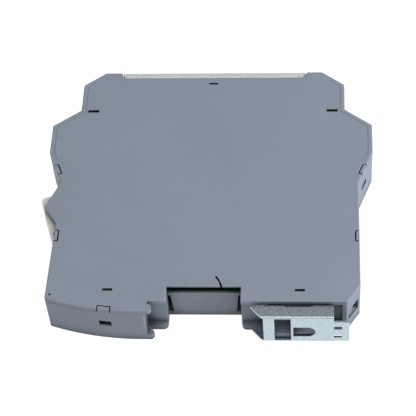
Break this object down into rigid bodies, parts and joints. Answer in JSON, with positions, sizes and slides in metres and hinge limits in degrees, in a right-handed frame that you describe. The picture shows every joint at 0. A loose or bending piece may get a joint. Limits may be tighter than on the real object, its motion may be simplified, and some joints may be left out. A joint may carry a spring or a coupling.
{
  "type": "rail-mounted control relay",
  "caption": "Slim control relay for a top-hat rail: snapped grey housing, pull-off terminal plugs, clear flap over its settings and a sprung metal rail slider.",
  "frame": {"origin": "on the plane where the rail's lips seat, under the middle of the rail recess, in the plane of the lower side face", "axes": "+X along the height of the mounted relay towards its rail slider, +Y from the rail towards the front flap, +Z across its width, up as it lies on its side"},
  "size_m": [0.1166, 0.1071, 0.0175],
  "materials": {
    "housing_plastic": "fine spark-eroded moulding texture",
    "plug_plastic": "fine moulding texture",
    "panel_plastic": "satin",
    "clear_plastic": "frosted clear moulding",
    "cream_plastic": "fine moulding texture",
    "zinc_steel": "bright zinc plate with mottled flanges",
    "spring_steel": "drawn wire",
    "screw_steel": "zinc plate",
    "clamp_steel": "zinc plate",
    "circuit_board": "solder mask",
    "black_plastic": "moulded",
    "relay_black": "moulded",
    "lamp_green": "tinted clear",
    "blue_plastic": "moulded",
    "dial_plastic": "moulded",
    "button_plastic": "moulded",
    "switch_red": "moulded",
    "lever_white": "moulded",
    "ferrite": "ground ferrite",
    "winding_tape": "polyester tape",
    "capacitor_sleeve": "shrink sleeve",
    "varistor_blue": "dipped coating"
  },
  "bodies": {
    "housing": {"housing_shell": "housing_plastic", "side_cover": "housing_plastic", "recess_blank": "housing_plastic", "slider_spring": "spring_steel", "front_panel": "panel_plastic", "flap_hinge_pin": "spring_steel", "front_board": "circuit_board", "main_board": "circuit_board", "board_link": "black_plastic", "indicator_lamps": "lamp_green", "dial_sockets": "blue_plastic", "reset_switch": "black_plastic", "reset_spring": "spring_steel", "mode_switch_body": "switch_red", "bus_header": "cream_plastic", "power_relay_1": "relay_black", "power_relay_2": "relay_black", "transformer_core": "ferrite", "transformer_winding": "winding_tape", "capacitors": "capacitor_sleeve", "varistor": "varistor_blue", "input_fuse": "relay_black", "controller_chip": "relay_black", "optocouplers": "lever_white", "upper_right_plug_header": "black_plastic", "upper_left_plug_header": "black_plastic", "lower_right_plug_header": "black_plastic", "lower_left_plug_header": "black_plastic"},
    "flap": {"front_flap": "clear_plastic"},
    "slider": {"rail_slider": "zinc_steel"},
    "bus_plug": {"bus_plug": "cream_plastic", "bus_plug_clamps": "spring_steel"},
    "time_dial": {"time_dial": "dial_plastic"},
    "range_dial": {"range_dial": "dial_plastic"},
    "reset_button": {"reset_button": "button_plastic"},
    "mode_lever_1": {"mode_lever_1": "lever_white"},
    "mode_lever_2": {"mode_lever_2": "lever_white"},
    "mode_lever_3": {"mode_lever_3": "lever_white"},
    "upper_right_plug": {"upper_right_plug": "plug_plastic", "upper_right_plug_screws": "screw_steel", "upper_right_plug_clamps": "clamp_steel"},
    "upper_left_plug": {"upper_left_plug": "plug_plastic", "upper_left_plug_screws": "screw_steel", "upper_left_plug_clamps": "clamp_steel"},
    "lower_right_plug": {"lower_right_plug": "plug_plastic", "lower_right_plug_screws": "screw_steel", "lower_right_plug_clamps": "clamp_steel"},
    "lower_left_plug": {"lower_left_plug": "plug_plastic", "lower_left_plug_screws": "screw_steel", "lower_left_plug_clamps": "clamp_steel"}
  },
  "joints": [
    {"name": "slider_release", "type": "slide", "parent": "housing", "child": "slider", "axis": [1, 0, 0], "range_m": [0, 0.0035], "stiffness_N_per_m": 1200, "springref_m": -0.003, "deforming": ["slider_spring"]},
    {"name": "flap_hinge", "type": "hinge", "parent": "housing", "child": "flap", "pos_m": [-0.0356, 0.1002, 0.00875], "axis": [0, 0, 1], "range_deg": [0, 95]},
    {"name": "upper_right_plug_pull", "type": "slide", "parent": "housing", "child": "upper_right_plug", "axis": [1, 0, 0], "range_m": [0, 0.0135]},
    {"name": "upper_left_plug_pull", "type": "slide", "parent": "housing", "child": "upper_left_plug", "axis": [-1, 0, 0], "range_m": [0, 0.0135]},
    {"name": "lower_right_plug_pull", "type": "slide", "parent": "housing", "child": "lower_right_plug", "axis": [1, 0, 0], "range_m": [0, 0.0165]},
    {"name": "lower_left_plug_pull", "type": "slide", "parent": "housing", "child": "lower_left_plug", "axis": [-1, 0, 0], "range_m": [0, 0.0165]},
    {"name": "bus_plug_pull", "type": "slide", "parent": "housing", "child": "bus_plug", "axis": [-0.9542, -0.299, 0], "range_m": [0, 0.015]},
    {"name": "time_dial_turn", "type": "hinge", "parent": "housing", "child": "time_dial", "pos_m": [-0.00751, 0.099, 0.00875], "axis": [0, -1, 0], "range_deg": [-135, 135]},
    {"name": "range_dial_turn", "type": "hinge", "parent": "housing", "child": "range_dial", "pos_m": [0.00379, 0.099, 0.00875], "axis": [0, -1, 0], "range_deg": [-135, 135]},
    {"name": "reset_press", "type": "slide", "parent": "housing", "child": "reset_button", "axis": [0, -1, 0], "range_m": [0, 0.0008], "stiffness_N_per_m": 600, "springref_m": -0.0008, "deforming": ["reset_spring"]},
    {"name": "mode_lever_1_throw", "type": "slide", "parent": "housing", "child": "mode_lever_1", "axis": [0, 0, 1], "range_m": [0, 0.0016]},
    {"name": "mode_lever_2_throw", "type": "slide", "parent": "housing", "child": "mode_lever_2", "axis": [0, 0, 1], "range_m": [0, 0.0016]},
    {"name": "mode_lever_3_throw", "type": "slide", "parent": "housing", "child": "mode_lever_3", "axis": [0, 0, 1], "range_m": [0, 0.0016]}
  ]
}
